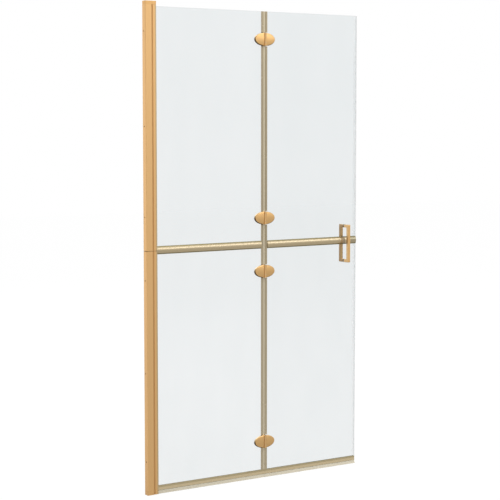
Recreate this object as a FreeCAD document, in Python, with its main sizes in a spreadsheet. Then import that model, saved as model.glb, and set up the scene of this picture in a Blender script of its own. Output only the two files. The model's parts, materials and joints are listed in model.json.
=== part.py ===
"""Folding walk-in shower screen: wall profile, fixed leaf and folding leaf, in millimetres.

The wall plane is x = 0, the middle plane of the glass is y = 0 and the floor is z = 0.
The screen runs along +X from the wall, its front faces -Y, and +Z is up.
"""
import os
import re

import FreeCAD
import Part
import Sketcher

Vector = FreeCAD.Vector

# Driving sizes, each with what it measures
SIZES = (
    ("screen_height", 1900.0, "floor to the top of the cap"),
    ("screen_width", 1000.0, "wall to the free edge"),
    ("floor_clear", 0.5, "floor to the lowest moving edge"),
    ("end_clear", 0.3, "gap over the top of the sliding profile"),
    ("channel_breadth", 25.0, "wall channel, front to back"),
    ("channel_reach", 27.5, "wall channel, out from the wall"),
    ("channel_web", 2.0, "thickness of the web on the wall"),
    ("channel_wall", 1.6, "thickness of the channel's sides"),
    ("channel_round", 2.0, "outer corners at the wall"),
    ("bead_rise", 0.5, "guide bead inside each side"),
    ("bead_run", 3.0, "length of the guide bead"),
    ("half_height", 950.0, "joint between lower and upper profiles"),
    ("joint_gap", 1.2, "gap in that joint"),
    ("wall_hole", 5.5, "diameter of a wall screw hole"),
    ("hole_low", 130.0, "lowest hole above the foot of its half"),
    ("hole_mid", 476.0, "middle hole above the foot of its half"),
    ("hole_drop", 114.0, "highest hole below the top of its half"),
    ("cap_rise", 14.0, "height of the top cap"),
    ("cap_wall", 1.8, "side wall of the cap"),
    ("cap_plate", 3.0, "top plate of the cap"),
    ("cap_round", 1.0, "rounded top edge of the cap"),
    ("plug_drop", 10.0, "plug of the cap down into the channel"),
    ("plug_run", 12.0, "length of the plug"),
    ("plug_clear", 0.3, "play round the plug"),
    ("profile_gap", 5.1, "open groove between channel and profile head"),
    ("head_run", 14.3, "head of the glass profile"),
    ("slide_clear", 0.1, "running clearance of the sliding profile"),
    ("slide_in", 4.5, "travel of the profile towards the wall"),
    ("slide_out", 8.0, "travel of the profile away from the wall"),
    ("profile_wall", 1.6, "wall of the glass profile"),
    ("leg_clear", 5.0, "legs clear of the web at rest"),
    ("heel_run", 2.0, "guide bead at the end of the legs"),
    ("pocket_run", 12.0, "depth of the glass pocket"),
    ("gasket_wall", 2.0, "gasket between glass and pocket"),
    ("gasket_web", 1.2, "gasket under the edge of the glass"),
    ("lip_run", 0.9, "gasket lip in front of the pocket"),
    ("lip_spread", 1.2, "gasket lip beyond the pocket's side"),
    ("clamp_place", 20.0, "clamp screws, out from the wall"),
    ("clamp_low", 200.0, "lower clamp screw above the foot of its half"),
    ("clamp_drop", 200.0, "upper clamp screw below the top of its half"),
    ("clamp_shank", 4.0, "clamp screw diameter"),
    ("clamp_head", 8.0, "clamp screw head diameter"),
    ("clamp_rise", 2.4, "clamp screw head height"),
    ("slot_clear", 0.3, "play of the clamp screw in its slot"),
    ("nut_width", 8.0, "square nut"),
    ("nut_thick", 3.0, "square nut thickness"),
    ("nut_clear", 0.05, "nut to the leg it slides on"),
    ("glass_thick", 5.0, "glass"),
    ("glass_arris", 0.5, "ground edge of the glass"),
    ("glass_drop", 19.0, "top of the glass below the top of the screen"),
    ("glass_foot", 14.0, "lower edge of the glass above the floor"),
    ("glass_hole", 10.0, "diameter of a hole in the glass"),
    ("glass_gap", 12.0, "gap between the leaves' glass at the fold"),
    ("strip_lift", 1.4, "middle of the strip between the panes above the joint of the profiles"),
    ("mid_web", 3.0, "web of that strip, between the pane edges"),
    ("strip_height", 31.0, "height of the strip's flanges"),
    ("strip_edge", 1.2, "flange thickness at its edges"),
    ("strip_crown", 4.5, "rise of the rounded flange"),
    ("seal_height", 31.0, "bottom seal"),
    ("seal_wall", 1.8, "flange of the bottom and fold seals"),
    ("seal_gap", 0.3, "butt gap between seals"),
    ("fin_wall", 1.3, "wiper fin"),
    ("fin_inset", 0.5, "fin set back from the flange"),
    ("fin_lift", 3.0, "rear fin shorter than the front fin"),
    ("fin_splay", 5.0, "lean of the front fin to the front"),
    ("seam_grip", 8.2, "fold seal's grip on the front of the glass"),
    ("seam_back", 4.0, "fold seal's grip on the back of the glass"),
    ("seam_web", 1.6, "fold seal's web on the glass edge"),
    ("bulb_wall", 1.2, "wall of the bulb"),
    ("bulb_skin", 0.5, "bulb's hollow inside the faces of the glass"),
    ("fold_gap", 0.3, "gap between the leaves' pieces at the fold line"),
    ("notch_spare", 1.5, "seal cut away round a hinge"),
    ("edge_grip", 12.0, "free edge seal's grip on the glass"),
    ("edge_wall", 1.2, "free edge seal's flange"),
    ("edge_web", 2.0, "free edge seal's web"),
    ("fold_place", 541.0, "fold line, out from the wall"),
    ("top_drop", 110.5, "top hinge below the top of the glass"),
    ("upper_lift", 107.5, "second hinge above the middle of the strip"),
    ("lower_drop", 107.5, "third hinge below the middle of the strip"),
    ("bottom_lift", 134.0, "bottom hinge above the lower edge of the glass"),
    ("oval_length", 94.5, "hinge oval across"),
    ("oval_height", 52.0, "hinge oval up and down"),
    ("leaf_thick", 10.0, "hinge leaf at its middle"),
    ("crown_rise", 2.5, "fall of the leaf's crowned face to its rim"),
    ("crown_spare", 2.0, "crown cut past the rim"),
    ("leaf_round", 3.5, "rounded rim of the hinge leaf"),
    ("plate_length", 80.0, "back plate oval across"),
    ("plate_height", 42.0, "back plate oval up and down"),
    ("plate_thick", 4.0, "back plate of the hinge"),
    ("plate_round", 2.0, "rounded rim of the back plate"),
    ("pad_thick", 0.8, "pad between metal and glass"),
    ("pad_inset", 0.6, "pad inside the oval"),
    ("axis_rise", 0.7, "hinge axis in front of the leaf's face"),
    ("knuckle_width", 8.6, "diameter of a knuckle"),
    ("knuckle_clear", 0.35, "leaf clear of the other leaf's knuckle"),
    ("barrel_length", 50.0, "all knuckles together"),
    ("middle_length", 24.0, "middle knuckle"),
    ("washer_thick", 0.8, "washer between knuckles"),
    ("washer_clear", 0.1, "play at a washer"),
    ("washer_inset", 0.3, "washer inside the knuckle's rim"),
    ("pin_width", 4.4, "hinge pin diameter"),
    ("pin_clear", 0.05, "turning clearance round the pin"),
    ("pin_bevel", 0.4, "bevelled pin ends"),
    ("press_clear", 0.02, "pin in the outer knuckles, screw in its thread"),
    ("screw_place", 24.0, "hinge screws from the fold line"),
    ("screw_spread", 22.0, "distance between the screws of a leaf"),
    ("screw_width", 5.0, "hinge screw diameter"),
    ("screw_head", 9.0, "hinge screw head diameter"),
    ("screw_rise", 2.6, "hinge screw head height"),
    ("screw_bite", 5.5, "depth of the threaded hole in a leaf"),
    ("screw_clear", 0.2, "play of a screw in a plate or sleeve"),
    ("head_bevel", 0.8, "bevelled rim of a screw head"),
    ("tip_clear", 0.3, "screw short of the end of its hole"),
    ("sleeve_clear", 0.2, "sleeve in the hole of the glass"),
    ("handle_inset", 55.7, "handle from the free edge"),
    ("handle_drop", 13.0, "middle of the handle below the middle of the strip"),
    ("handle_length", 157.0, "handle overall height"),
    ("handle_reach", 28.7, "front of the bar from its foot"),
    ("handle_bar", 12.0, "square bar of the handle"),
    ("handle_bend", 2.5, "rounded corner of the handle"),
    ("handle_round", 1.0, "rounded edge of the bar"),
    ("stud_width", 6.0, "handle stud diameter"),
    ("stud_bite", 10.0, "depth of the stud's hole in a foot"),
)

# Places that follow from the sizes
PLACES = {
    "glass_half": "glass_thick / 2",
    "glass_top": "screen_height - glass_drop",
    "gap_half": "glass_gap / 2",
    "channel_half": "channel_breadth / 2",
    "channel_inner": "channel_half - channel_wall",
    "channel_top": "screen_height - cap_rise",
    "bead_face": "channel_inner - bead_rise",
    "bead_start": "channel_reach - bead_run",
    "lower_end": "half_height - joint_gap / 2",
    "upper_start": "half_height + joint_gap / 2",
    "leg_half": "bead_face - slide_clear",
    "leg_inner": "leg_half - profile_wall",
    "leg_start": "channel_web + leg_clear",
    "heel_half": "channel_inner - slide_clear",
    "heel_end": "leg_start + heel_run",
    "head_start": "channel_reach + profile_gap",
    "head_end": "head_start + head_run",
    "pocket_half": "glass_half + gasket_wall",
    "pocket_floor": "head_end - pocket_run",
    "cross_wall": "pocket_floor - profile_wall",
    "cell_start": "pocket_half + profile_wall",
    "cell_end": "channel_half - profile_wall",
    "profile_top": "channel_top - end_clear",
    "glass_start": "pocket_floor + gasket_web",
    "lip_half": "pocket_half + lip_spread",
    "lip_end": "head_end + lip_run",
    "seal_start": "lip_end + seal_gap",
    "mid_height": "half_height + strip_lift",
    "low_pane_top": "mid_height - mid_web / 2",
    "high_pane_foot": "mid_height + mid_web / 2",
    "fixed_edge": "fold_place - gap_half",
    "folding_edge": "fold_place + gap_half",
    "free_edge": "screen_width - edge_web",
    "strip_half": "strip_height / 2",
    "strip_face": "glass_half + strip_edge",
    "strip_bow": "(strip_half * strip_half + strip_crown * strip_crown) / (2 * strip_crown)",
    "flange_face": "glass_half + seal_wall",
    "seam_start": "gap_half + seam_grip",
    "seam_rear": "gap_half + seam_back",
    "seam_foot": "seal_height + seal_gap",
    "web_end": "gap_half - seam_web",
    "bulb_inner": "glass_half - bulb_skin",
    "bulb_half": "bulb_inner + bulb_wall",
    "fin_face": "flange_face - fin_inset",
    "fin_root": "glass_foot - seal_wall",
    "hinge_top": "glass_top - top_drop",
    "hinge_upper": "mid_height + upper_lift",
    "hinge_lower": "mid_height - lower_drop",
    "hinge_bottom": "glass_foot + bottom_lift",
    "notch_half": "oval_height / 2 + notch_spare",
    "notch_rear": "plate_height / 2 + notch_spare",
    "crown_half": "oval_height / 2 + crown_spare",
    "crown_bow": "(crown_half * crown_half + crown_rise * crown_rise) / (2 * crown_rise)",
    "crown_reach": "(oval_length * oval_length / 4 + crown_rise * crown_rise) / (2 * crown_rise)",
    "axis_depth": "leaf_thick + axis_rise",
    "leaf_seat": "glass_half + pad_thick",
    "axis_front": "leaf_seat + axis_depth",
    "plate_face": "leaf_seat + plate_thick",
    "knuckle_half": "knuckle_width / 2",
    "knuckle_room": "knuckle_half + knuckle_clear",
    "middle_half": "middle_length / 2",
    "washer_seat": "middle_half + washer_clear + washer_thick",
    "screw_half": "screw_spread / 2",
    "screw_reach": "plate_thick + 2 * pad_thick + glass_thick + screw_bite - tip_clear",
    "clamp_length": "channel_half - leg_inner + nut_clear + nut_thick",
    "handle_place": "screen_width - handle_inset",
    "handle_height": "mid_height - handle_drop",
    "handle_half": "handle_length / 2",
    "foot_place": "handle_half - handle_bar / 2",
    "stud_half": "leaf_seat + stud_bite - tip_clear",
}

HINGES = ("hinge_top", "hinge_upper", "hinge_lower", "hinge_bottom")
HALVES = (("0", "half_height"), ("half_height", "screen_height"))
TOLERANCE = 1e-4

doc = FreeCAD.newDocument("ShowerScreen")
sheet = doc.addObject("Spreadsheet::Sheet", "Sizes")
for row, (size_name, size, note) in enumerate(SIZES, start=1):
    sheet.set("A%d" % row, str(size))
    sheet.setAlias("A%d" % row, size_name)
    sheet.set("B%d" % row, note)
doc.recompute()

nodes = []


def term(text):
    """Spell out the places in a formula and point every size at the sheet."""
    def spell(match):
        word = match.group(0)
        if word in PLACES:
            return "(" + term(PLACES[word]) + ")"
        return "Sizes." + word
    return re.sub(r"[a-z][a-z_]+", spell, text)


def value(text):
    """Present number of a formula."""
    return float(sheet.evalExpression(term(text)))


def new_body(name):
    """Empty body for one piece or one repeated form."""
    body = doc.addObject("PartDesign::Body", name)
    body.Label = name
    return body


def place(item, across="0", depth="0", height="0"):
    """Tie the position of a piece to the sheet."""
    item.setExpression("Placement.Base.x", term(across))
    item.setExpression("Placement.Base.y", term(depth))
    item.setExpression("Placement.Base.z", term(height))


def new_sketch(body, role, lift=None, shift=None):
    """Sketch on one of the body's own planes, lifted along its normal or shifted in it."""
    plane = next(item for item in body.Origin.OriginFeatures if item.Role == role)
    sketch = body.newObject("Sketcher::SketchObject", "Sketch")
    sketch.AttachmentSupport = [(plane, "")]
    sketch.MapMode = "FlatFace"
    if lift:
        sketch.setExpression("AttachmentOffset.Base.z", term(lift))
    if shift:
        sketch.setExpression("AttachmentOffset.Base.x", term(shift))
    return sketch


def bind(sketch, constraint, text):
    """Add a dimension and tie it to the sheet."""
    index = sketch.addConstraint(constraint)
    sketch.setExpression("Constraints[%d]" % index, term(text))


def pin_point(sketch, item, end, across, up):
    """Dimension one point of a sketch from its origin."""
    bind(sketch, Sketcher.Constraint("DistanceX", -1, 1, item, end, value(across)), across)
    bind(sketch, Sketcher.Constraint("DistanceY", -1, 1, item, end, value(up)), up)


def bowed_arc(start, end, radius):
    """Shallow arc of a given radius that bows to the left of its chord."""
    chord = end - start
    half = chord.Length / 2
    sagitta = radius - (radius ** 2 - half ** 2) ** 0.5
    outward = Vector(-chord.y, chord.x, 0).normalize()
    return Part.Arc(start, (start + end) / 2 + outward * sagitta, end)


def draw_loop(sketch, corners):
    """Closed outline of corners; a third entry bows the side after that corner."""
    spots = [Vector(value(corner[0]), value(corner[1]), 0) for corner in corners]
    ends = []
    for index, corner in enumerate(corners):
        start = spots[index]
        end = spots[(index + 1) % len(spots)]
        if len(corner) == 2:
            item = sketch.addGeometry(Part.LineSegment(start, end), False)
        else:
            item = sketch.addGeometry(bowed_arc(start, end, value(corner[2])), False)
        first = 1 if sketch.getPoint(item, 1).distanceToPoint(start) < TOLERANCE else 2
        ends.append((item, first, 3 - first))
    for index, (item, first, last) in enumerate(ends):
        after, begin, _ = ends[(index + 1) % len(ends)]
        sketch.addConstraint(Sketcher.Constraint("Coincident", item, last, after, begin))
    for (item, first, last), corner in zip(ends, corners):
        pin_point(sketch, item, first, corner[0], corner[1])
        if len(corner) > 2:
            bind(sketch, Sketcher.Constraint("Radius", item, value(corner[2])), corner[2])


def draw_box(sketch, left, right, low, high):
    """Rectangle from its four sides."""
    draw_loop(sketch, [(left, low), (right, low), (right, high), (left, high)])


def draw_circle(sketch, across, up, width):
    """Circle of a given diameter."""
    middle = Vector(value(across), value(up), 0)
    item = sketch.addGeometry(Part.Circle(middle, Vector(0, 0, 1), value(width) / 2), False)
    pin_point(sketch, item, 3, across, up)
    bind(sketch, Sketcher.Constraint("Diameter", item, value(width)), width)


def draw_slot(sketch, left, right, up, width):
    """Level slot with round ends, from end centre to end centre."""
    radius = value(width) / 2
    begin = Vector(value(left), value(up), 0)
    finish = Vector(value(right), value(up), 0)
    rise = Vector(0, radius, 0)
    run = Vector(radius, 0, 0)
    left_end = sketch.addGeometry(Part.Arc(begin + rise, begin - run, begin - rise), False)
    right_end = sketch.addGeometry(Part.Arc(finish - rise, finish + run, finish + rise), False)
    floor = sketch.addGeometry(Part.LineSegment(begin - rise, finish - rise), False)
    roof = sketch.addGeometry(Part.LineSegment(finish + rise, begin + rise), False)
    sketch.addConstraint(Sketcher.Constraint("Tangent", left_end, 2, floor, 1))
    sketch.addConstraint(Sketcher.Constraint("Tangent", floor, 2, right_end, 1))
    sketch.addConstraint(Sketcher.Constraint("Tangent", right_end, 2, roof, 1))
    sketch.addConstraint(Sketcher.Constraint("Tangent", roof, 2, left_end, 1))
    sketch.addConstraint(Sketcher.Constraint("Horizontal", floor))
    pin_point(sketch, left_end, 3, left, up)
    bind(sketch, Sketcher.Constraint("DistanceX", -1, 1, right_end, 3, value(right)), right)
    bind(sketch, Sketcher.Constraint("Radius", left_end, radius), "(" + width + ") / 2")


def draw_oval(sketch, length, height, start):
    """Ellipse about the sketch's origin, long axis level, that starts on the given side."""
    long_end = Vector(value(start + "(" + length + ") / 2"), 0, 0)
    short_end = Vector(0, value(height) / 2, 0)
    oval = sketch.addGeometry(Part.Ellipse(long_end, short_end, Vector(0, 0, 0)), False)
    sketch.exposeInternalGeometry(oval)
    sketch.addConstraint(Sketcher.Constraint("Coincident", oval, 3, -1, 1))
    sketch.addConstraint(Sketcher.Constraint("Horizontal", oval + 1))
    bind(sketch, Sketcher.Constraint("Distance", oval + 1, value(length)), length)
    bind(sketch, Sketcher.Constraint("Distance", oval + 2, value(height)), height)


def pad(body, sketch, length, reverse=False, both=False):
    """Add material along the sketch's normal, or to both sides of it."""
    feature = body.newObject("PartDesign::Pad", "Pad")
    feature.Profile = sketch
    feature.setExpression("Length", term(length))
    feature.Reversed = reverse
    if both:
        feature.SideType = "Symmetric"
    doc.recompute()
    return feature


def pocket(body, sketch, length=None, reverse=False, both=False):
    """Take material away against the sketch's normal; without a length, right through."""
    before = body.Shape.Volume
    feature = body.newObject("PartDesign::Pocket", "Pocket")
    feature.Profile = sketch
    feature.Reversed = reverse
    if length:
        feature.setExpression("Length", term(length))
    else:
        feature.Type = "ThroughAll"
    if both:
        feature.SideType = "Symmetric"
    doc.recompute()
    if body.Shape.Volume >= before - TOLERANCE:
        raise ValueError("a pocket of %s cuts nothing" % body.Label)
    return feature


def spin(body, sketch):
    """Full turn about the sketch's upright axis."""
    feature = body.newObject("PartDesign::Revolution", "Revolution")
    feature.Profile = sketch
    feature.ReferenceAxis = (sketch, ["V_Axis"])
    doc.recompute()
    return feature


def soften(body, kind, radius, choose):
    """Round or bevel the edges that a test picks from the body's last feature."""
    base = body.Tip
    names = ["Edge%d" % number for number, edge in enumerate(base.Shape.Edges, start=1) if choose(edge)]
    feature = body.newObject("PartDesign::" + kind, kind)
    feature.Base = (base, names)
    feature.setExpression("Radius" if kind == "Fillet" else "Size", term(radius))
    doc.recompute()
    return feature


def flat_at(edge, axis, level):
    """True for an edge that lies in the plane axis = level."""
    low = getattr(edge.BoundBox, axis + "Min")
    high = getattr(edge.BoundBox, axis + "Max")
    return abs(low - level) < TOLERANCE and abs(high - level) < TOLERANCE


def keep(item):
    """Hand a finished piece in under its own name."""
    nodes.append(item)
    return item


def copy_of(form, name, across="0", depth="0", height="0", turned=False):
    """One placed copy of a repeated form."""
    link = doc.addObject("App::Link", name)
    link.Label = name
    link.LinkedObject = form
    if turned:
        half_turn = FreeCAD.Rotation(Vector(0, 0, 1), 180)
        link.Placement = FreeCAD.Placement(Vector(0, 0, 0), half_turn)
    place(link, across, depth, height)
    return link


def group_of(name, *sets):
    """Placed copies of one small form, or of two, in one node."""
    group = doc.addObject("Part::Compound", name)
    group.Label = name
    group.Links = [copy_of(form, name + "_copy", *spot) for form, spots in sets for spot in spots]
    doc.recompute()
    return keep(group)


def hole_heights(foot, top):
    """Heights of the wall screw holes in one half."""
    return foot + " + hole_low", foot + " + hole_mid", top + " - hole_drop"


def clamp_heights(foot, top):
    """Heights of the clamp screws in one half."""
    return foot + " + clamp_low", top + " - clamp_drop"


def wall_channel(name, start, end, half):
    """U channel on the wall, with guide beads, wall screw holes and clamp screw holes."""
    body = new_body(name)
    section = new_sketch(body, "XY_Plane")
    draw_loop(section, [
        ("0", "-channel_half"),
        ("channel_reach", "-channel_half"),
        ("channel_reach", "-bead_face"),
        ("bead_start", "-bead_face"),
        ("bead_start", "-channel_inner"),
        ("channel_web", "-channel_inner"),
        ("channel_web", "channel_inner"),
        ("bead_start", "channel_inner"),
        ("bead_start", "bead_face"),
        ("channel_reach", "bead_face"),
        ("channel_reach", "channel_half"),
        ("0", "channel_half"),
    ])
    pad(body, section, end + " - (" + start + ")")
    holes = new_sketch(body, "YZ_Plane")
    for height in hole_heights(*half):
        draw_circle(holes, "0", height + " - (" + start + ")", "wall_hole")
    pocket(body, holes, "channel_web", reverse=True)
    threads = new_sketch(body, "XZ_Plane")
    for height in clamp_heights(*half):
        draw_circle(threads, "clamp_place", height + " - (" + start + ")", "clamp_shank + 2 * press_clear")
    pocket(body, threads)
    long_edge = (value(end) - value(start)) / 2
    soften(body, "Fillet", "channel_round",
           lambda edge: flat_at(edge, "X", 0) and edge.Length > long_edge)
    place(body, height=start)
    return keep(body)


def glass_profile(name, start, end, half):
    """Extrusion that slides in the channel on two legs and holds the glass in a pocket."""
    body = new_body(name)
    section = new_sketch(body, "XY_Plane")
    draw_loop(section, [
        ("leg_start", "-heel_half"),
        ("heel_end", "-heel_half"),
        ("heel_end", "-leg_half"),
        ("head_start", "-leg_half"),
        ("head_start", "-channel_half"),
        ("head_end", "-channel_half"),
        ("head_end", "-pocket_half"),
        ("pocket_floor", "-pocket_half"),
        ("pocket_floor", "pocket_half"),
        ("head_end", "pocket_half"),
        ("head_end", "channel_half"),
        ("head_start", "channel_half"),
        ("head_start", "leg_half"),
        ("heel_end", "leg_half"),
        ("heel_end", "heel_half"),
        ("leg_start", "heel_half"),
        ("leg_start", "leg_inner"),
        ("cross_wall", "leg_inner"),
        ("cross_wall", "-leg_inner"),
        ("leg_start", "-leg_inner"),
    ])
    draw_box(section, "pocket_floor", "head_end - profile_wall", "cell_start", "cell_end")
    draw_box(section, "pocket_floor", "head_end - profile_wall", "-cell_end", "-cell_start")
    pad(body, section, end + " - (" + start + ")")
    slots = new_sketch(body, "XZ_Plane")
    for height in clamp_heights(*half):
        draw_slot(slots, "clamp_place - slide_out", "clamp_place + slide_in",
                  height + " - (" + start + ")", "clamp_shank + 2 * slot_clear")
    pocket(body, slots)
    place(body, height=start)
    return keep(body)


def glazing_gasket(name, start, end):
    """U gasket round the edge of the glass, with a lip over the mouth of the pocket."""
    body = new_body(name)
    section = new_sketch(body, "XY_Plane")
    draw_loop(section, [
        ("pocket_floor", "-pocket_half"),
        ("head_end", "-pocket_half"),
        ("head_end", "-lip_half"),
        ("lip_end", "-lip_half"),
        ("lip_end", "-glass_half"),
        ("glass_start", "-glass_half"),
        ("glass_start", "glass_half"),
        ("lip_end", "glass_half"),
        ("lip_end", "lip_half"),
        ("head_end", "lip_half"),
        ("head_end", "pocket_half"),
        ("pocket_floor", "pocket_half"),
    ])
    pad(body, section, end + " - (" + start + ")")
    place(body, height=start)
    return keep(body)


def top_cap():
    """Hollow cap over both profiles, held by a plug inside the channel."""
    body = new_body("profile_top_cap")
    outline = new_sketch(body, "XY_Plane")
    draw_box(outline, "0", "head_end", "-channel_half", "channel_half")
    pad(body, outline, "cap_rise")
    top = value("cap_rise")
    soften(body, "Fillet", "channel_round",
           lambda edge: flat_at(edge, "X", 0) and edge.BoundBox.ZLength > top / 2)
    soften(body, "Fillet", "cap_round",
           lambda edge: flat_at(edge, "Z", top) and not flat_at(edge, "X", 0))
    hollow = new_sketch(body, "XY_Plane")
    draw_box(hollow, "cap_wall", "head_end - cap_wall",
             "-channel_half + cap_wall", "channel_half - cap_wall")
    pocket(body, hollow, "cap_rise - cap_plate", reverse=True)
    plug = new_sketch(body, "XY_Plane", "-plug_drop")
    draw_box(plug, "channel_web + plug_clear", "channel_web + plug_clear + plug_run",
             "-leg_inner + plug_clear", "leg_inner - plug_clear")
    pad(body, plug, "plug_drop + cap_rise - cap_plate / 2")
    place(body, height="channel_top")
    return keep(body)


def glass_pane(name, left, right, low, high, holes):
    """Pane with ground edges and drilled holes."""
    body = new_body(name)
    outline = new_sketch(body, "XZ_Plane")
    draw_box(outline, left, right, low, high)
    pad(body, outline, "glass_thick", both=True)
    face = value("glass_half")
    soften(body, "Chamfer", "glass_arris",
           lambda edge: flat_at(edge, "Y", face) or flat_at(edge, "Y", -face))
    drilled = new_sketch(body, "XZ_Plane")
    for across, height in holes:
        draw_circle(drilled, across, height, "glass_hole")
    pocket(body, drilled, both=True)
    return keep(body)


def hinge_holes(side, hinges):
    """Places of the hinge screws in one leaf."""
    return [("fold_place" + side + "screw_place", hinge + shift)
            for hinge in hinges for shift in (" - screw_half", " + screw_half")]


def mid_strip(name, start, end):
    """H strip between the upper and lower panes, with bowed flanges."""
    body = new_body(name)
    section = new_sketch(body, "YZ_Plane")
    draw_loop(section, [
        ("-glass_half", "strip_half"),
        ("-glass_half", "mid_web / 2"),
        ("glass_half", "mid_web / 2"),
        ("glass_half", "strip_half"),
        ("strip_face", "strip_half", "strip_bow"),
        ("strip_face", "-strip_half"),
        ("glass_half", "-strip_half"),
        ("glass_half", "-mid_web / 2"),
        ("-glass_half", "-mid_web / 2"),
        ("-glass_half", "-strip_half"),
        ("-strip_face", "-strip_half", "strip_bow"),
        ("-strip_face", "strip_half"),
    ])
    pad(body, section, end + " - (" + start + ")")
    place(body, across=start, height="mid_height")
    return keep(body)


def bottom_seal(name, start, end):
    """Channel under the glass with a long front fin and a shorter rear fin."""
    body = new_body(name)
    section = new_sketch(body, "YZ_Plane")
    draw_loop(section, [
        ("-flange_face", "seal_height"),
        ("-flange_face", "fin_root"),
        ("-fin_face", "fin_root"),
        ("-fin_face - fin_splay", "floor_clear"),
        ("-fin_face - fin_splay + fin_wall", "floor_clear"),
        ("-fin_face + fin_wall", "fin_root"),
        ("fin_face - fin_wall", "fin_root"),
        ("fin_face - fin_wall", "floor_clear + fin_lift"),
        ("fin_face", "floor_clear + fin_lift"),
        ("fin_face", "fin_root"),
        ("flange_face", "fin_root"),
        ("flange_face", "seal_height"),
        ("glass_half", "seal_height"),
        ("glass_half", "glass_foot"),
        ("-glass_half", "glass_foot"),
        ("-glass_half", "seal_height"),
    ])
    pad(body, section, end + " - (" + start + ")")
    place(body, across=start)
    return keep(body)


def notch(body, left, right, front_spans, back_spans):
    """Cut the front and back flanges of an upright seal away over some heights."""
    front = new_sketch(body, "XZ_Plane", "glass_half")
    for low, high in front_spans:
        draw_box(front, left, right, low, high)
    pocket(body, front, reverse=True)
    back = new_sketch(body, "XZ_Plane", "-glass_half")
    for low, high in back_spans:
        draw_box(back, left, right, low, high)
    pocket(body, back)


def seam_seal(name, side):
    """Seal on a glass edge at the fold, with a hollow bulb, notched round the hinges."""
    body = new_body(name)
    section = new_sketch(body, "XY_Plane")
    outline = [
        ("seam_start", "-flange_face"),
        ("web_end", "-flange_face"),
        ("web_end", "-bulb_half"),
        ("fold_gap / 2", "-bulb_half"),
        ("fold_gap / 2", "bulb_half"),
        ("web_end", "bulb_half"),
        ("web_end", "flange_face"),
        ("seam_rear", "flange_face"),
        ("seam_rear", "glass_half"),
        ("gap_half", "glass_half"),
        ("gap_half", "-glass_half"),
        ("seam_start", "-glass_half"),
    ]
    draw_loop(section, [(side + "(" + across + ")", depth) for across, depth in outline])
    draw_box(section, side + "(web_end)", side + "(fold_gap / 2 + bulb_wall)",
             "-bulb_inner", "bulb_inner")
    pad(body, section, "glass_top - seam_foot")
    front, back = [[(hinge + " - " + half + " - seam_foot", hinge + " + " + half + " - seam_foot")
                    for hinge in HINGES] for half in ("notch_half", "notch_rear")]
    notch(body, "0", side + "(seam_start + seal_gap)", front, back)
    place(body, across="fold_place", height="seam_foot")
    return keep(body)


def free_edge_seal():
    """Clear U on the free edge, its flanges cut for the strip and the bottom seal."""
    body = new_body("free_edge_seal")
    section = new_sketch(body, "XY_Plane")
    draw_loop(section, [
        ("-edge_web - edge_grip", "-glass_half - edge_wall"),
        ("0", "-glass_half - edge_wall"),
        ("0", "glass_half + edge_wall"),
        ("-edge_web - edge_grip", "glass_half + edge_wall"),
        ("-edge_web - edge_grip", "glass_half"),
        ("-edge_web", "glass_half"),
        ("-edge_web", "-glass_half"),
        ("-edge_web - edge_grip", "-glass_half"),
    ])
    pad(body, section, "glass_top - floor_clear")
    spans = [
        ("-floor_clear", "seal_height + seal_gap - floor_clear"),
        ("mid_height - strip_half - seal_gap - floor_clear",
         "mid_height + strip_half + seal_gap - floor_clear"),
    ]
    notch(body, "-edge_web - edge_grip - seal_gap", "-edge_web", spans, spans)
    place(body, across="screen_width", height="floor_clear")
    return keep(body)


def oval_plate(name, side, length, height, thick, reverse):
    """Flat oval plate about the fold line."""
    body = new_body(name)
    outline = new_sketch(body, "XZ_Plane")
    draw_oval(outline, length, height, "-" if side == "" else "")
    pad(body, outline, thick, reverse=reverse)
    return body


def crown(body):
    """Crowned front of a hinge leaf: a shallow barrel cut, then a rounded rim."""
    section = new_sketch(body, "YZ_Plane", shift="crown_reach - leaf_thick")
    draw_loop(section, [
        ("crown_rise - crown_reach", "-crown_half", "crown_bow"),
        ("crown_rise - crown_reach", "crown_half"),
        ("-crown_reach - leaf_thick", "crown_half"),
        ("-crown_reach - leaf_thick", "-crown_half"),
    ])
    cut = body.newObject("PartDesign::Groove", "Groove")
    cut.Profile = section
    cut.ReferenceAxis = (section, ["V_Axis"])
    doc.recompute()
    rim = -value("leaf_thick") / 2
    soften(body, "Fillet", "leaf_round", lambda edge: edge.BoundBox.YMax < rim)


def keep_half(body, side, limit):
    """Cut a hinge piece back to its own side of the fold line."""
    other = new_sketch(body, "XZ_Plane")
    draw_box(other, side + "(" + limit + ")", side + "(-oval_length)", "-oval_height", "oval_height")
    pocket(body, other, both=True)


def screw_pair(body, side, width, length=None, reverse=False, both=False):
    """Two screw holes in a hinge piece."""
    holes = new_sketch(body, "XZ_Plane")
    for up in ("-screw_half", "screw_half"):
        draw_circle(holes, side + "(screw_place)", up, width)
    pocket(body, holes, length, reverse, both)


def barrel(body, length):
    """Knuckle cylinder on the hinge axis."""
    ring = new_sketch(body, "XY_Plane")
    draw_circle(ring, "0", "-axis_depth", "knuckle_width")
    pad(body, ring, length, both=True)


def pin_bore(body, width):
    """Hole for the pin along the hinge axis."""
    ring = new_sketch(body, "XY_Plane")
    draw_circle(ring, "0", "-axis_depth", width)
    pocket(body, ring, both=True)


def fixed_leaf():
    """Front hinge leaf of the fixed side, with the upper and lower knuckles."""
    body = oval_plate("fixed_leaf_form", "-", "oval_length", "oval_height", "leaf_thick", False)
    crown(body)
    keep_half(body, "-", "fold_gap / 2")
    barrel(body, "barrel_length")
    room = new_sketch(body, "XZ_Plane")
    draw_box(room, "-knuckle_room", "knuckle_room", "-washer_seat", "washer_seat")
    pocket(body, room, both=True)
    pin_bore(body, "pin_width + 2 * press_clear")
    screw_pair(body, "-", "screw_width + 2 * press_clear", "screw_bite", reverse=True)
    return body


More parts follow.
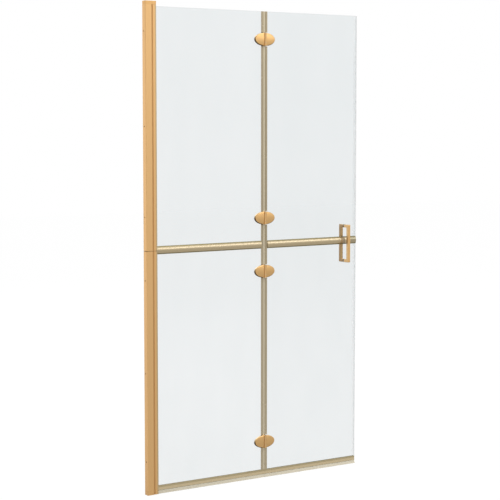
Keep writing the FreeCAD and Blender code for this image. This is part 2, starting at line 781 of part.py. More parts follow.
def folding_leaf():
    """Front hinge leaf of the folding side, with the middle knuckle."""
    body = oval_plate("folding_leaf_form", "", "oval_length", "oval_height", "leaf_thick", False)
    crown(body)
    keep_half(body, "", "fold_gap / 2")
    room = new_sketch(body, "XZ_Plane")
    draw_box(room, "0", "knuckle_room", "middle_half", "oval_height")
    draw_box(room, "0", "knuckle_room", "-oval_height", "-middle_half")
    pocket(body, room, both=True)
    barrel(body, "middle_length")
    pin_bore(body, "pin_width + 2 * pin_clear")
    screw_pair(body, "", "screw_width + 2 * press_clear", "screw_bite", reverse=True)
    return body


def back_plate(name, side):
    """Plate behind the glass that the hinge screws draw up."""
    body = oval_plate(name, side, "plate_length", "plate_height", "plate_thick", True)
    face = value("plate_thick")
    soften(body, "Fillet", "plate_round", lambda edge: flat_at(edge, "Y", face))
    keep_half(body, side, "fold_gap / 2")
    screw_pair(body, side, "screw_width + 2 * screw_clear", both=True)
    return body


def hinge_pad(name, side, length, height):
    """Thin pad between a hinge piece and the glass."""
    body = oval_plate(name, side, length + " - 2 * pad_inset", height + " - 2 * pad_inset",
                      "pad_thick", True)
    keep_half(body, side, "gap_half")
    screw_pair(body, side, "screw_width + 2 * screw_clear", both=True)
    return body


def ring_form(name, role, outer, inner, thick, both=False):
    """Plain ring about the normal of a plane."""
    body = new_body(name)
    section = new_sketch(body, role)
    draw_circle(section, "0", "0", outer)
    draw_circle(section, "0", "0", inner)
    pad(body, section, thick, both=both)
    return body


def screw_form(name, shank, head, rise, length):
    """Screw along Y: shank to the front, bevelled head behind."""
    body = new_body(name)
    section = new_sketch(body, "XY_Plane")
    draw_loop(section, [
        ("0", "-(" + length + ")"),
        (shank + " / 2", "-(" + length + ")"),
        (shank + " / 2", "0"),
        (head + " / 2", "0"),
        (head + " / 2", rise + " - head_bevel"),
        (head + " / 2 - head_bevel", rise),
        ("0", rise),
    ])
    spin(body, section)
    return body


def rod_form(name, role, width, half_length):
    """Plain rod with bevelled ends about the sketch's upright axis."""
    body = new_body(name)
    section = new_sketch(body, role)
    draw_loop(section, [
        ("0", "-(" + half_length + ")"),
        (width + " / 2 - pin_bevel", "-(" + half_length + ")"),
        (width + " / 2", "-(" + half_length + ") + pin_bevel"),
        (width + " / 2", half_length + " - pin_bevel"),
        (width + " / 2 - pin_bevel", half_length),
        ("0", half_length),
    ])
    spin(body, section)
    return body


def square_nut():
    """Square nut that the clamp screw draws against the leg."""
    body = new_body("clamp_nut_form")
    section = new_sketch(body, "XZ_Plane")
    draw_box(section, "-nut_width / 2", "nut_width / 2", "-nut_width / 2", "nut_width / 2")
    draw_circle(section, "0", "0", "clamp_shank + 2 * press_clear")
    pad(body, section, "nut_thick")
    return body


def handle_form():
    """Square bar bent to two feet that stand on the glass."""
    body = new_body("handle_form")
    section = new_sketch(body, "YZ_Plane")
    draw_loop(section, [
        ("0", "handle_half"),
        ("-handle_reach", "handle_half"),
        ("-handle_reach", "-handle_half"),
        ("0", "-handle_half"),
        ("0", "-handle_half + handle_bar"),
        ("-handle_reach + handle_bar", "-handle_half + handle_bar"),
        ("-handle_reach + handle_bar", "handle_half - handle_bar"),
        ("0", "handle_half - handle_bar"),
    ])
    pad(body, section, "handle_bar", both=True)
    outer = -value("handle_reach")
    inner = outer + value("handle_bar")
    side = value("handle_bar") / 2
    soften(body, "Fillet", "handle_bend",
           lambda edge: (flat_at(edge, "Y", outer) or flat_at(edge, "Y", inner))
           and edge.Length < 2 * side + TOLERANCE
           and edge.BoundBox.XLength > side)
    soften(body, "Fillet", "handle_round",
           lambda edge: (flat_at(edge, "X", side) or flat_at(edge, "X", -side))
           and not flat_at(edge, "Y", 0))
    studs = new_sketch(body, "XZ_Plane")
    for up in ("-foot_place", "foot_place"):
        draw_circle(studs, "0", up, "stud_width + 2 * press_clear")
    pocket(body, studs, "stud_bite", reverse=True)
    return body


# Wall profile in two halves, the cap, and the screws that clamp the sliding profile
wall_channel("wall_channel_lower", "0", "lower_end", HALVES[0])
wall_channel("wall_channel_upper", "upper_start", "channel_top", HALVES[1])
top_cap()
clamp_spots = [("clamp_place", height) for half in HALVES for height in clamp_heights(*half)]
clamp_screw = screw_form("clamp_screw_form", "clamp_shank", "clamp_head", "clamp_rise", "clamp_length")
group_of("profile_clamp_screws",
         (clamp_screw, [(across, "channel_half", height) for across, height in clamp_spots]))
group_of("profile_clamp_nuts",
         (square_nut(), [(across, "leg_inner - nut_clear", height) for across, height in clamp_spots]))

# Fixed leaf: sliding glass profile, gaskets, panes and seals
glass_profile("glass_profile_lower", "floor_clear", "lower_end", HALVES[0])
glass_profile("glass_profile_upper", "upper_start", "profile_top", HALVES[1])
glazing_gasket("glazing_gasket_lower", "floor_clear", "lower_end")
glazing_gasket("glazing_gasket_upper", "upper_start", "glass_top")
glass_pane("fixed_glass_lower", "glass_start", "fixed_edge", "glass_foot", "low_pane_top",
           hinge_holes(" - ", HINGES[2:]))
glass_pane("fixed_glass_upper", "glass_start", "fixed_edge", "high_pane_foot", "glass_top",
           hinge_holes(" - ", HINGES[:2]))
mid_strip("fixed_mid_strip", "seal_start", "fold_place - seam_start - seal_gap")
bottom_seal("fixed_bottom_seal", "seal_start", "fold_place - fold_gap / 2")
seam_seal("fixed_seam_seal", "-")

# Folding leaf: panes, seals and free edge
handle_spots = [("handle_place", "handle_height + foot_place"),
                ("handle_place", "handle_height - foot_place")]
glass_pane("folding_glass_lower", "folding_edge", "free_edge", "glass_foot", "low_pane_top",
           hinge_holes(" + ", HINGES[2:]) + handle_spots)
glass_pane("folding_glass_upper", "folding_edge", "free_edge", "high_pane_foot", "glass_top",
           hinge_holes(" + ", HINGES[:2]) + handle_spots)
mid_strip("folding_mid_strip", "fold_place + seam_start + seal_gap", "free_edge - seal_gap")
bottom_seal("folding_bottom_seal", "fold_place + fold_gap / 2", "free_edge - seal_gap")
seam_seal("folding_seam_seal", "")
free_edge_seal()

# Hinges: leaves, back plates, pads, sleeves, screws, pins and washers
for leaf_name, leaf, plate in (
        ("fixed", fixed_leaf(), back_plate("fixed_plate_form", "-")),
        ("folding", folding_leaf(), back_plate("folding_plate_form", ""))):
    for hinge in HINGES:
        keep(copy_of(leaf, hinge + "_" + leaf_name + "_leaf", "fold_place", "-leaf_seat", hinge))
        keep(copy_of(plate, hinge + "_" + leaf_name + "_plate", "fold_place", "leaf_seat", hinge))
sleeve = ring_form("hinge_sleeve_form", "XZ_Plane", "glass_hole - 2 * sleeve_clear",
                   "screw_width + 2 * screw_clear", "glass_thick", both=True)
screw = screw_form("hinge_screw_form", "screw_width", "screw_head", "screw_rise", "screw_reach")
for leaf_name, side, sign in (("fixed", " - ", "-"), ("folding", " + ", "")):
    spots = hinge_holes(side, HINGES)
    front_pad = hinge_pad(leaf_name + "_front_pad_form", sign, "oval_length", "oval_height")
    back_pad = hinge_pad(leaf_name + "_back_pad_form", sign, "plate_length", "plate_height")
    group_of(leaf_name + "_hinge_sleeves",
             (sleeve, [(across, "0", height) for across, height in spots]))
    group_of(leaf_name + "_hinge_screws",
             (screw, [(across, "plate_face", height) for across, height in spots]))
    group_of(leaf_name + "_hinge_pads",
             (front_pad, [("fold_place", "-leaf_seat", hinge) for hinge in HINGES]),
             (back_pad, [("fold_place", "glass_half", hinge) for hinge in HINGES]))
pin = rod_form("hinge_pin_form", "XZ_Plane", "pin_width", "barrel_length / 2")
group_of("hinge_pins", (pin, [("fold_place", "-axis_front", hinge) for hinge in HINGES]))
washer = ring_form("hinge_washer_form", "XY_Plane", "knuckle_width - 2 * washer_inset",
                   "pin_width + 2 * pin_clear", "washer_thick")
group_of("hinge_washers",
         (washer, [("fold_place", "-axis_front", hinge + base) for hinge in HINGES
                   for base in (" - washer_seat", " + washer_seat - washer_thick")]))

# Handle on both faces of the folding leaf, with studs through the glass
handle = handle_form()
keep(copy_of(handle, "handle_front", "handle_place", "-leaf_seat", "handle_height"))
keep(copy_of(handle, "handle_back", "handle_place", "leaf_seat", "handle_height", turned=True))
stud = rod_form("handle_stud_form", "XY_Plane", "stud_width", "stud_half")
group_of("handle_studs", (stud, [(across, "0", height) for across, height in handle_spots]))
handle_pad = ring_form("handle_pad_form", "XZ_Plane", "handle_bar - 2 * handle_round",
                       "stud_width + 2 * screw_clear", "pad_thick")
group_of("handle_pads",
         (handle_pad, [(across, depth, height) for across, height in handle_spots
                       for depth in ("-glass_half", "leaf_seat")]))
handle_sleeve = ring_form("handle_sleeve_form", "XZ_Plane", "glass_hole - 2 * sleeve_clear",
                          "stud_width + 2 * screw_clear", "glass_thick", both=True)
group_of("handle_sleeves",
         (handle_sleeve, [(across, "0", height) for across, height in handle_spots]))

doc.recompute()
for item in doc.Objects:
    if "Invalid" in item.State or "Error" in item.State:
        raise ValueError("%s failed to build" % item.Label)
os.makedirs("parts", exist_ok=True)
shapes = {item.Label: Part.getShape(item) for item in nodes}
for label, shape in shapes.items():
    if shape.isNull() or not shape.isValid():
        raise ValueError("%s has no valid shape" % label)
for label, shape in shapes.items():
    shape.exportStep("parts/%s.step" % label)
print(len(shapes), "pieces written")
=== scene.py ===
"""Looks of the folding walk-in shower screen: finishes, fine fixings, studio and camera."""
import json
import math

import bpy
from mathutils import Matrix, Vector


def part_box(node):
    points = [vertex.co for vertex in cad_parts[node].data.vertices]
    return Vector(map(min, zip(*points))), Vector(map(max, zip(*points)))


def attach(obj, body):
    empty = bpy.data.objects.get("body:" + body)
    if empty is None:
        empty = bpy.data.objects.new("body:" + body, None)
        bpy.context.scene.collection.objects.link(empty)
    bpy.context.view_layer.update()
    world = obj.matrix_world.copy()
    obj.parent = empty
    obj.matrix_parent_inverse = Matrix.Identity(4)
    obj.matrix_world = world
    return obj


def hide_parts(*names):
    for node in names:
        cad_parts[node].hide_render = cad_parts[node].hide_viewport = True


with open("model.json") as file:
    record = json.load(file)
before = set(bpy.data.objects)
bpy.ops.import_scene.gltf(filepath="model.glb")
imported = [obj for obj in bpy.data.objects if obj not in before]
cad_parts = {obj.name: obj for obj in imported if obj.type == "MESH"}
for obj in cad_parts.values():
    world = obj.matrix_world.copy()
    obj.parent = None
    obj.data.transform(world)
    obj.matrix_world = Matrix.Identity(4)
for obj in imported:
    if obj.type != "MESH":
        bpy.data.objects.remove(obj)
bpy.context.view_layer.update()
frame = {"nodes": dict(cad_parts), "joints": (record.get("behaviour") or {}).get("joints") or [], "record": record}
scene = bpy.context.scene
nodes = frame["nodes"]

# Places on the screen where a finish changes, in metres
FOLD_LINE = next(joint for joint in frame["joints"] if joint["name"] == "fold")["pos_m"][0]
STRIP_LOW, STRIP_HIGH = [corner[2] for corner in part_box("fixed_mid_strip")]
STRIP_MIDDLE = (STRIP_LOW + STRIP_HIGH) / 2
STRIP_EDGE = (STRIP_HIGH - STRIP_LOW) / 2 + 0.001
STRIP_LIP = STRIP_EDGE - 0.005
CREST_END = STRIP_MIDDLE + 0.0025
MIDDLE_FADE = 0.025
FOOT_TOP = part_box("fixed_bottom_seal")[1][2] + 0.0002
FOOT_LIP = FOOT_TOP - 0.0072
FIN_TOP = 0.0135
SEAM_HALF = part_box("folding_seam_seal")[1][0] - FOLD_LINE + 0.0002
BULB_CORE = 0.0015
BULB_EDGE = 0.0045
EDGE_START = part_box("glass_profile_upper")[1][0] - 0.0065
EDGE_END = EDGE_START + 0.0033
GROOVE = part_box("wall_channel_upper")[1][0] + 0.001
GROOVE_HALF = 0.0018
SPLIT_MIDDLE = STRIP_MIDDLE - 0.0014
SPLIT_HALF = 0.0019
WALL_SIDE_END = 0.004
HOLLOW_START = 0.001
HOLLOW_HALF = 0.0112
RIB_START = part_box("free_edge_seal")[1][0] - 0.0032
GRIP_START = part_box("handle_front")[0][0] - 0.01
# Patch of painted light on the strip where the handle's front bar casts its shadow
BAR_LIGHT_MIDDLE = GRIP_START + 0.007
BAR_LIGHT_CORE = 0.0036
BAR_LIGHT_EDGE = 0.0107
TIP_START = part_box("handle_front")[1][0] + 0.006
TIP_END = TIP_START + 0.0143
KNUCKLE_HALF = 0.012
BACK_START = 0.002

# Facing of the surface, from 0 across an axis to 1 along it; a pair is where a shade starts and is full
END_FACING = 0.5
FACE_FACING = 0.9
UPPER_RIM = (0.897, 0.552)
UPPER_LEAN = (0.1, 1.1)
LOWER_RIM = (0.975, 0.85)
LOWER_LEAN = (0.45, -0.55)
LEFT_SIDE = (-0.615, -1.0)


def tone(red, green, blue):
    """Linear colour of a shade given in display steps from 0 to 255."""
    def linear(step):
        share = step / 255
        return share / 12.92 if share <= 0.04045 else ((share + 0.055) / 1.055) ** 2.4
    return (linear(red), linear(green), linear(blue), 1.0)


class Value:
    """A shader value whose sums, products and comparisons add Math nodes."""

    def __init__(self, finish, socket):
        self.finish = finish
        self.socket = socket

    def __add__(self, other):
        return self.finish.math("ADD", self, other)

    def __radd__(self, other):
        return self.finish.math("ADD", other, self)

    def __sub__(self, other):
        return self.finish.math("SUBTRACT", self, other)

    def __rsub__(self, other):
        return self.finish.math("SUBTRACT", other, self)

    def __mul__(self, other):
        return self.finish.math("MULTIPLY", self, other)

    def __abs__(self):
        return self.finish.math("ABSOLUTE", self)

    def __gt__(self, other):
        return self.finish.math("GREATER_THAN", self, other)

    def __lt__(self, other):
        return self.finish.math("LESS_THAN", self, other)

    def clipped(self):
        """The same value kept between 0 and 1."""
        return self.finish.math("ADD", self, 0.0, clip=True)

    def ramp(self, start, end):
        """0 at the start value, 1 at the end value, straight in between."""
        slope = 1.0 / (end - start)
        return (self * slope - start * slope).clipped()


class Finish:
    """A node material, or the world, that is being put together."""

    def __init__(self, owner):
        self.owner = owner
        owner.use_nodes = True
        self.tree = owner.node_tree

    def node(self, kind, settings=None, inputs=None, out=0):
        """One node: its settings first, then the numbers or links of its sockets."""
        made = self.tree.nodes.new(kind)
        for key, setting in (settings or {}).items():
            setattr(made, key, setting)
        for key, source in (inputs or {}).items():
            self.feed(made.inputs[key], source)
        return Value(self, made.outputs[out])

    def feed(self, socket, source):
        """Link a value to a socket, or set the socket to a number."""
        if isinstance(source, Value):
            self.tree.links.new(source.socket, socket)
        else:
            socket.default_value = source

    def math(self, operation, first, second=0.0, clip=False):
        """Math node on two values."""
        return self.node("ShaderNodeMath", {"operation": operation, "use_clamp": clip},
                         {0: first, 1: second})

    def axis(self, vector, name):
        """One coordinate of a vector."""
        return self.node("ShaderNodeSeparateXYZ", None, {0: vector}, out=name)

    def spot(self):
        """Place on the piece, in metres."""
        return self.node("ShaderNodeTexCoord", out="Object")

    def place(self, name):
        """One coordinate of the place on the piece."""
        return self.axis(self.spot(), name)

    def facing(self, name):
        """One coordinate of the direction in which the surface faces, turning with the piece."""
        return self.axis(self.node("ShaderNodeTexCoord", out="Normal"), name)

    def noise(self, stretch, detail=2.0, rough=0.5):
        """Cloudy pattern with its own fineness along X, Y and Z."""
        place = self.node("ShaderNodeMapping", None, {"Vector": self.spot(), "Scale": stretch})
        return self.node("ShaderNodeTexNoise", None,
                         {"Vector": place, "Scale": 1.0, "Detail": detail, "Roughness": rough})

    def mix(self, share, first, second):
        """Blend of two shades."""
        return self.node("ShaderNodeMix", {"data_type": "RGBA"},
                         {0: share, 6: first, 7: second}, out=2)

    def lay(self, colour, *layers):
        """Lay shades over a colour, each as far as its share says."""
        for share, shade in layers:
            colour = self.mix(share, colour, shade)
        return colour

    def bump(self, height, depth, strength):
        """Surface relief."""
        return self.node("ShaderNodeBump", None,
                         {"Strength": strength, "Distance": depth, "Height": height})

    def rays(self, *kinds):
        """1 for a ray of one of these kinds, otherwise 0."""
        path = self.tree.nodes.new("ShaderNodeLightPath")
        found = Value(self, path.outputs[kinds[0]])
        for kind in kinds[1:]:
            found = self.math("MAXIMUM", found, Value(self, path.outputs[kind]))
        return found


def new_finish(name, **sockets):
    """Material with fixed shader settings; the changing ones are fed afterwards."""
    finish = Finish(bpy.data.materials.new(name))
    finish.shader = finish.tree.nodes["Principled BSDF"]
    for key, setting in sockets.items():
        finish.shader.inputs[key.replace("_", " ")].default_value = setting
    return finish


def set_surface(finish, **sockets):
    """Feed the shader's changing sockets."""
    for key, source in sockets.items():
        finish.feed(finish.shader.inputs[key.replace("_", " ")], source)
    return finish.owner


def drawn_gold(name, light, deep, rough):
    """Satin gold on extruded aluminium: fine lines along the draw; painted shade in the groove, along the joint
    and in the hollow.
    """
    finish = new_finish(name, Metallic=0.8)
    lines = finish.noise((1500, 1500, 5), detail=3.0, rough=0.6)
    clouds = finish.noise((5, 5, 3))
    along = finish.place("X")
    depth = abs(finish.place("Y"))
    groove_shade = abs(along - GROOVE) < GROOVE_HALF
    joint_shade = abs(finish.place("Z") - SPLIT_MIDDLE) < SPLIT_HALF
    sides = abs(finish.facing("Z")) < END_FACING
    hollow_shade = (along > HOLLOW_START) * (along < GROOVE) * (depth < HOLLOW_HALF) * sides
    colour = finish.lay(
        finish.mix((lines * 0.6 + clouds * 0.4).clipped(), deep, light),
        (along.ramp(EDGE_START, EDGE_END), tone(198, 172, 130)),
        # Painted shade: darker in the groove beside the glass profile, along the joint between the channels
        # (strongest near the wall) and inside the channel's hollow.
        (groove_shade * 0.55, tone(150, 106, 56)),
        (joint_shade * (0.12 + (along < WALL_SIDE_END) * 0.45), tone(130, 88, 50)),
        (hollow_shade * 0.85, tone(64, 44, 26)),
    )
    return set_surface(finish, Base_Color=colour, Roughness=rough + lines * 0.14,
                       Normal=finish.bump(lines, 0.00008, 0.35))


def plated(name, light, deep, rough, shades=None):
    """Satin plating on a cast piece or a screw, with a faint skin texture."""
    finish = new_finish(name, Metallic=0.9)
    skin = finish.noise((900, 900, 900), detail=3.0)
    colour = finish.mix(finish.noise((26, 26, 26)), deep, light)
    if shades:
        colour = shades(finish, colour)
    return set_surface(finish, Base_Color=colour, Roughness=rough + skin * 0.1,
                       Normal=finish.bump(skin, 0.00004, 0.15))


def fitting_shades(finish, colour):
    """Shades on hinges and handle: painted highlight on upper rims, painted shade on the lower rims of the ovals,
    painted shade on the handle's faces turned to the glass and to the left.
    """
    along, depth = finish.place("X"), finish.place("Y")
    across, outward, upward = [finish.facing(name) for name in "XYZ"]
    grip = along > GRIP_START
    oval = (abs(along - FOLD_LINE) > KNUCKLE_HALF) * (1.0 - grip)
    upper = abs(outward).ramp(*UPPER_RIM) * (upward * 0.9 - across * 0.5).ramp(*UPPER_LEAN)
    lower = abs(outward).ramp(*LOWER_RIM) * (upward * 1.2 + across * 0.6).ramp(*LOWER_LEAN)
    inner = outward * depth < -BACK_START
    side = across.ramp(*LEFT_SIDE)
    handle_shade = grip * (inner * 0.1 + side * (0.2 + (depth > BACK_START) * 0.48))
    return finish.lay(
        colour,
        (0.55 - grip * 0.3, tone(204, 165, 112)),
        # Painted highlight on upper rims; painted shade on the ovals' lower rims and on the handle's glass-facing
        # and left sides, deepest on the bar behind the glass.
        (upper * 0.6, tone(252, 228, 186)),
        (lower * oval, tone(74, 52, 28)),
        (handle_shade.clipped(), tone(104, 68, 34)),
    )


def moulded(name, light, deep, rough, stretch):
    """Smooth plastic with faint flow marks."""
    finish = new_finish(name)
    flow = finish.noise(stretch, detail=3.0)
    return set_surface(finish, Base_Color=finish.mix(flow, deep, light),
                       Roughness=rough + flow * 0.12, Normal=finish.bump(flow, 0.00005, 0.2))


def clear_glass(name):
    """Toughened glass: faint clouds on the faces, a greener look into the ground edges, and painted shade making
    the folding pane a touch less clear.
    """
    finish = new_finish(name, IOR=1.9, Specular_Tint=(1.0, 1.0, 1.0, 1.0))
    clouds = finish.noise((8.0, 1.0, 3.5), detail=4.0, rough=0.6)
    edge = abs(finish.facing("Y")) < FACE_FACING
    folding = finish.place("X") > FOLD_LINE
    face_shade = finish.mix(clouds, tone(36, 146, 162), tone(52, 156, 170))
    # Painted shade: the folding pane is a touch less clear than the fixed one.
    return set_surface(finish, Base_Color=finish.mix(edge, face_shade, tone(118, 160, 150)),
                       Roughness=0.03 + clouds * 0.04,
                       Alpha=0.081 + clouds * 0.032 + folding * 0.009 + edge * 0.1)


def clear_plastic(name, body):
    """Clear soft plastic, faintly clouded along its length, thicker at the free edge."""
    finish = new_finish(name)
    flow = finish.noise((40, 40, 6))
    rib = finish.place("X") > RIB_START
    return set_surface(finish, Base_Color=finish.mix(flow, tone(150, 158, 160), tone(176, 182, 184)),
                       Roughness=0.22 + flow * 0.12, Alpha=body + flow * 0.02 + rib * 0.05)


def champagne(name):
    """Champagne film on the seals: dark lips on the strips, pale bulb at the fold, pale foot; painted light
    lifting the seals towards the bottom, darker towards the top, and a painted light patch where the handle's
    front bar shades the strip.
    """
    finish = new_finish(name)
    flow = finish.noise((30, 300, 30), detail=3.0)
    along, height = finish.place("X"), finish.place("Z")
    beside = abs(along - FOLD_LINE)
    rise = abs(height - STRIP_MIDDLE)
    band = (rise < STRIP_EDGE) * (beside > SEAM_HALF)
    lip = (rise > STRIP_LIP) * band
    crest = height.ramp(STRIP_MIDDLE, CREST_END)
    # Painted light: the seals are lifted towards the bottom, where less light reaches them.
    lower = height.ramp(STRIP_MIDDLE + MIDDLE_FADE, STRIP_MIDDLE - MIDDLE_FADE)
    painted_lift = (STRIP_MIDDLE - height).clipped() * 0.5 + lower * 0.25
    above = (height - STRIP_MIDDLE).clipped() * (1.0 - band)
    bulb = beside.ramp(BULB_EDGE, BULB_CORE) * (1.0 - band)
    front = (finish.place("Y") < 0.0) * band
    tip = along.ramp(TIP_START, TIP_END) * front
    # Painted light on the strip where the handle's front bar casts its shadow; it is also made less metallic
    # there.
    bar_light = abs(along - BAR_LIGHT_MIDDLE).ramp(BAR_LIGHT_EDGE, BAR_LIGHT_CORE) * front
    foot = height < FOOT_TOP
    colour = finish.lay(
        finish.mix(finish.noise((4, 4, 4)), tone(184, 169, 138), tone(196, 180, 149)),
        (painted_lift, tone(222, 206, 174)),
        (above * 0.24, tone(146, 133, 106)),
        (bulb * (0.9 - above * 0.3), tone(255, 242, 212)),
        (band, finish.mix(crest, tone(196, 178, 144), tone(196, 180, 149))),
        (tip * (0.42 + crest * 0.33), tone(150, 145, 122)),
        (bar_light * (0.75 + crest * 0.25), tone(255, 243, 212)),
        (foot, tone(244, 222, 178)),
        (foot * (height > FOOT_LIP), tone(212, 193, 150)),
        (foot * (height < FIN_TOP), tone(190, 182, 162)),
        (lip, tone(136, 125, 90)),
    )
    return set_surface(finish, Base_Color=colour, Metallic=0.4 + band * 0.45 - bar_light * 0.8,
                       Roughness=0.22 + flow * 0.08 + lip * 0.2,
                       Normal=finish.bump(flow, 0.00003, 0.12))


FINISHES = {
    "gold_profile": drawn_gold("drawn_gold", tone(232, 188, 130), tone(223, 178, 119), 0.4),
    "gold_cap": plated("cap_gold", tone(230, 186, 126), tone(220, 175, 114), 0.5),
    "gold_fitting": plated("plated_gold", tone(238, 193, 130), tone(228, 180, 116), 0.29,
                           fitting_shades),
    "steel_fixing": plated("plain_steel", tone(190, 188, 182), tone(170, 168, 162), 0.28),
    "nylon": moulded("white_nylon", tone(236, 234, 226), tone(224, 221, 211), 0.4, (60, 60, 60)),
    "clear_pad": clear_plastic("clear_pad", 0.14),
    "tempered_glass": clear_glass("toughened_glass"),
    "clear_seal": clear_plastic("clear_edge", 0.018),
    "glazing_rubber": moulded("cream_gasket", tone(236, 226, 204), tone(222, 210, 184), 0.45,
                              (300, 300, 8)),
    "champagne_seal": champagne("champagne_seal"),
}

for part in frame["record"]["subparts"]:
    piece = nodes[part["node"]]
    piece.data.materials.clear()
    piece.data.materials.append(FINISHES[part["material_slot"]])


# Screws that show on the back plates and on the wall channel, with their driver recesses
FLOOR_STEP = 0.15
CORE_SHARE = 0.25
FLOOR_SHARE = 0.6
HEAD_SIDES = 48
DOME_STEPS = 5
TIP_ROUND = 0.2
SMOOTH_ANGLE = math.radians(32)
FIRST_TURN = 25
NEXT_TURN = 38
TOWARDS_Y = (math.radians(-90), 0, 0)


def select_faces(piece, chosen):
    """Open the piece for editing with only the chosen faces selected."""
    bpy.ops.object.mode_set(mode="EDIT")
    bpy.ops.mesh.select_mode(type="FACE")
    bpy.ops.mesh.select_all(action="DESELECT")
    bpy.ops.object.mode_set(mode="OBJECT")
    for face in piece.data.polygons:
        face.select = chosen(face)
    bpy.ops.object.mode_set(mode="EDIT")


def outer_face(face):
    """True for a face towards +Y."""
    return face.normal.y > 0.9


def inner_face(face):
    """True for a face towards -Y."""
    return face.normal.y < -0.9


def extrude(way):
    """Pull the selected faces out by a vector."""
    bpy.ops.mesh.extrude_region_move(TRANSFORM_OT_translate={"value": way})


def hex_cutter(size, depth):
    """Six-sided socket, its mouth at Y 0."""
    bpy.ops.object.select_all(action="DESELECT")
    bpy.ops.mesh.primitive_cylinder_add(vertices=6, radius=size, depth=2 * depth,
                                        rotation=TOWARDS_Y)
    cutter = bpy.context.object
    bpy.ops.object.transform_apply(location=True, rotation=True, scale=True)
    select_faces(cutter, inner_face)
    bpy.ops.mesh.inset(thickness=size * FLOOR_STEP)
    extrude((0, -depth * FLOOR_STEP, 0))
    bpy.ops.object.mode_set(mode="OBJECT")
    return cutter


def cross_cutter(size, depth):
    """Cross recess that narrows towards its floor, its mouth at Y 0."""
    core = size * CORE_SHARE
    bpy.ops.object.select_all(action="DESELECT")
    bpy.ops.mesh.primitive_cube_add(size=2 * core)
    cutter = bpy.context.object
    bpy.ops.transform.resize(value=(1.0, depth / core, 1.0))
    bpy.ops.object.transform_apply(location=True, rotation=True, scale=True)
    for way in ((1, 0, 0), (-1, 0, 0), (0, 0, 1), (0, 0, -1)):
        arm = Vector(way)
        select_faces(cutter, lambda face: (face.center - arm * core).length < size * 0.1)
        extrude(arm * (size - core))
    select_faces(cutter, inner_face)
    bpy.ops.transform.resize(value=(FLOOR_SHARE, 1.0, FLOOR_SHARE))
    bpy.ops.object.mode_set(mode="OBJECT")
    return cutter


def model_screw(head, rise, dome, shank, length, cutter):
    """One screw with its seat at Y 0 and its head towards +Y: domed head, shank and recess."""
    bpy.ops.object.select_all(action="DESELECT")
    bpy.ops.mesh.primitive_cylinder_add(vertices=HEAD_SIDES, radius=head, depth=rise,
                                        location=(0, rise / 2, 0), rotation=TOWARDS_Y)
    screw = bpy.context.object
    bpy.ops.object.transform_apply(location=True, rotation=True, scale=True)
    select_faces(screw, outer_face)
    bpy.ops.mesh.bevel(offset=dome, segments=DOME_STEPS, affect="EDGES")
    select_faces(screw, inner_face)
    bpy.ops.mesh.inset(thickness=head - shank)
    extrude((0, -length, 0))
    bpy.ops.mesh.bevel(offset=shank * TIP_ROUND, segments=2, affect="EDGES")
    bpy.ops.object.mode_set(mode="OBJECT")
    cutter.location = (0, rise, 0)
    recess = screw.modifiers.new("recess", "BOOLEAN")
    recess.operation = "DIFFERENCE"
    recess.object = cutter
    bpy.context.view_layer.objects.active = screw
    bpy.ops.object.modifier_apply(modifier="recess")
    bpy.data.objects.remove(cutter)
    screw.select_set(True)
    bpy.ops.object.shade_smooth_by_angle(angle=SMOOTH_ANGLE)
    return screw


def place_screws(name, model, spots, node, body):
    """Copies of a screw, each turned a little further, as one piece in place of the plain ones."""
    copies = []
    for number, spot in enumerate(spots):
        bpy.ops.object.select_all(action="DESELECT")
        model.select_set(True)
        bpy.context.view_layer.objects.active = model
        bpy.ops.object.duplicate(linked=False)
        bpy.ops.transform.rotate(value=math.radians(FIRST_TURN + NEXT_TURN * number),
                                 orient_axis="Y", center_override=(0, 0, 0))
        bpy.ops.transform.translate(value=spot)
        copies.append(bpy.context.object)
    bpy.ops.object.select_all(action="DESELECT")
    for copy in copies:
        copy.select_set(True)
    bpy.context.view_layer.objects.active = copies[0]
    bpy.ops.object.join()
    bpy.ops.object.transform_apply(location=True, rotation=True, scale=True)
    piece = bpy.context.object
    piece.name = name
    piece.data.materials.clear()
    piece.data.materials.append(FINISHES["steel_fixing"])
    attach(piece, body)
    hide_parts(node)


def middle(node):
    """Middle of a node's box."""
    low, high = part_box(node)
    return (Vector(low) + Vector(high)) / 2


HINGES = ("bottom", "lower", "upper", "top")
PLATE_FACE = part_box("hinge_top_fixed_plate")[1][1]
SOCKET_TIP, SOCKET_TOP = [corner[1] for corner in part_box("fixed_hinge_screws")]
SOCKET_SPREAD = 0.011
SOCKET_HEAD = 0.0045
SOCKET_DOME = 0.0014
SOCKET_SHANK = 0.0025
SOCKET_HEX = 0.0017
SOCKET_DEPTH = 0.0015
hinge_screw = model_screw(SOCKET_HEAD, SOCKET_TOP - PLATE_FACE, SOCKET_DOME, SOCKET_SHANK,
                          PLATE_FACE - SOCKET_TIP, hex_cutter(SOCKET_HEX, SOCKET_DEPTH))
for leaf in ("fixed", "folding"):
    along = middle(leaf + "_hinge_screws").x
    heights = [middle("hinge_%s_%s_plate" % (hinge, leaf)).z for hinge in HINGES]
    spots = [(along, PLATE_FACE, height + rise)
             for height in heights for rise in (-SOCKET_SPREAD, SOCKET_SPREAD)]
    place_screws(leaf + "_socket_screws", hinge_screw, spots, leaf + "_hinge_screws", leaf + "_leaf")
bpy.data.objects.remove(hinge_screw)

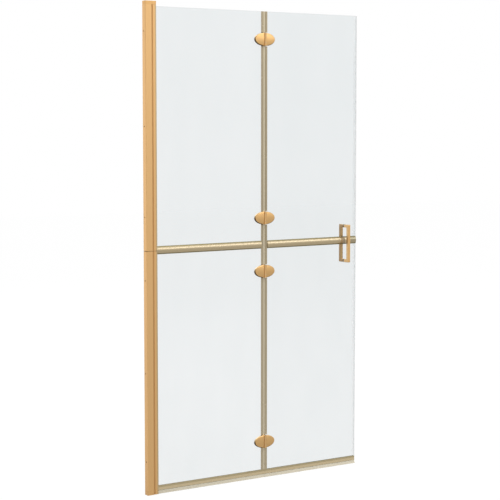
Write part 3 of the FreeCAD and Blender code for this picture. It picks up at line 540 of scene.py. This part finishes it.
CHANNEL_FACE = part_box("wall_channel_upper")[1][1]
CLAMP_TIP, CLAMP_TOP = [corner[1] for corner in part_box("profile_clamp_screws")]
CLAMP_HEIGHTS = (0.2, 0.75, 1.15, 1.7)
CLAMP_HEAD = 0.004
CLAMP_DOME = 0.0012
CLAMP_SHANK = 0.002
CLAMP_CROSS = 0.0021
CLAMP_DEPTH = 0.0014
clamp_screw = model_screw(CLAMP_HEAD, CLAMP_TOP - CHANNEL_FACE, CLAMP_DOME, CLAMP_SHANK,
                          CHANNEL_FACE - CLAMP_TIP, cross_cutter(CLAMP_CROSS, CLAMP_DEPTH))
along = middle("profile_clamp_screws").x
spots = [(along, CHANNEL_FACE, height) for height in CLAMP_HEIGHTS]
place_screws("cross_screws", clamp_screw, spots, "profile_clamp_screws", "wall_channel")
bpy.data.objects.remove(clamp_screw)


# Studio: pale floor that keeps a soft shadow, white surround, soft lamps
WHITE = (1.0, 1.0, 1.0, 1.0)
FLOOR_GREY = (0.15, 0.15, 0.15, 1.0)
FLOOR_SIZE = 30
FLOOR_SPOT = (0.4, 0.5, -0.0004)
FLOOR_GLOW = 0.92
MIRROR_GLOW = 0.63
SHADE_MIDDLE = 0.25
SHADE_HALF = 0.55
SHADE_NEAR = -0.48
SHADE_FAR = 3.0
WALL_START = -0.42


def studio_floor():
    """Wide pale floor under the screen; in reflections it has a painted shadow behind the screen and painted light
    on the wall side.
    """
    bpy.ops.object.select_all(action="DESELECT")
    bpy.ops.mesh.primitive_plane_add(size=FLOOR_SIZE, location=FLOOR_SPOT)
    floor = bpy.context.object
    floor.name = "studio_floor"
    finish = Finish(bpy.data.materials.new("pale_floor"))
    finish.tree.nodes.clear()
    along, depth = finish.place("X"), finish.place("Y")
    # Painted shadow behind the screen and painted light on the wall side, seen only in reflections.
    mirrored_shadow = (abs(along - SHADE_MIDDLE) < SHADE_HALF) * (depth > SHADE_NEAR) * (depth < SHADE_FAR)
    mirrored_wall_light = along < WALL_START
    seen = finish.rays("Is Camera Ray", "Is Transmission Ray")
    mirrored = finish.rays("Is Glossy Ray") * (1.0 + mirrored_wall_light * 0.45 - mirrored_shadow * 0.6)
    lit = finish.node("ShaderNodeBsdfDiffuse", None, {"Color": FLOOR_GREY})
    glow = finish.node("ShaderNodeEmission", None,
                       {"Color": WHITE, "Strength": seen * FLOOR_GLOW + mirrored * MIRROR_GLOW})
    both = finish.node("ShaderNodeAddShader", None, {0: lit, 1: glow})
    surface = finish.tree.nodes.new("ShaderNodeOutputMaterial")
    finish.feed(surface.inputs["Surface"], both)
    floor.data.materials.append(finish.owner)


def white_surround():
    """World that shows white and lights the screen softly."""
    scene.world = scene.world or bpy.data.worlds.new("surround")
    finish = Finish(scene.world)
    finish.tree.nodes.clear()
    seen = finish.rays("Is Camera Ray", "Is Glossy Ray", "Is Transmission Ray")
    back = finish.node("ShaderNodeBackground", None,
                       {"Color": WHITE, "Strength": 0.5 + seen * 0.5})
    surface = finish.tree.nodes.new("ShaderNodeOutputWorld")
    finish.feed(surface.inputs["Surface"], back)


def soft_lamp(name, spot, aim, width, height, power):
    """Wide soft lamp turned towards a point."""
    lamp = bpy.data.lights.new(name, "AREA")
    lamp.shape = "RECTANGLE"
    lamp.size = width
    lamp.size_y = height
    lamp.energy = power
    holder = bpy.data.objects.new(name, lamp)
    scene.collection.objects.link(holder)
    holder.location = spot
    holder.rotation_euler = (Vector(spot) - Vector(aim)).to_track_quat("Z", "Y").to_euler()


studio_floor()
white_surround()
soft_lamp("far_lamp", (6.61, -9.78, 4.5), (0.5, 0.0, 1.0), 7.0, 1.9, 105)
soft_lamp("key_lamp", (2.2, -2.6, 5.0), (0.5, 0.0, 0.95), 2.0, 2.0, 54)
soft_lamp("wall_lamp", (-2.6, 4.0, 1.2), (0.0, 0.0, 1.0), 2.4, 3.2, 14)
soft_lamp("rim_lamp", (0.3, 5.0, 4.0), (0.5, 0.0, 1.0), 3.0, 2.0, 36)

# Camera in front and to the left, a little below the top, tipped slightly down
camera = bpy.data.cameras.new("camera")
camera.sensor_width = 36.0
camera.lens = 103.38
camera.shift_y = -0.02
viewer = bpy.data.objects.new("camera", camera)
scene.collection.objects.link(viewer)
viewer.location = (-2.5969, -4.8328, 1.4432)
viewer.rotation_euler = (math.radians(85.3), 0.0, math.radians(-32.45))
scene.camera = viewer
scene.view_settings.view_transform = "Standard"
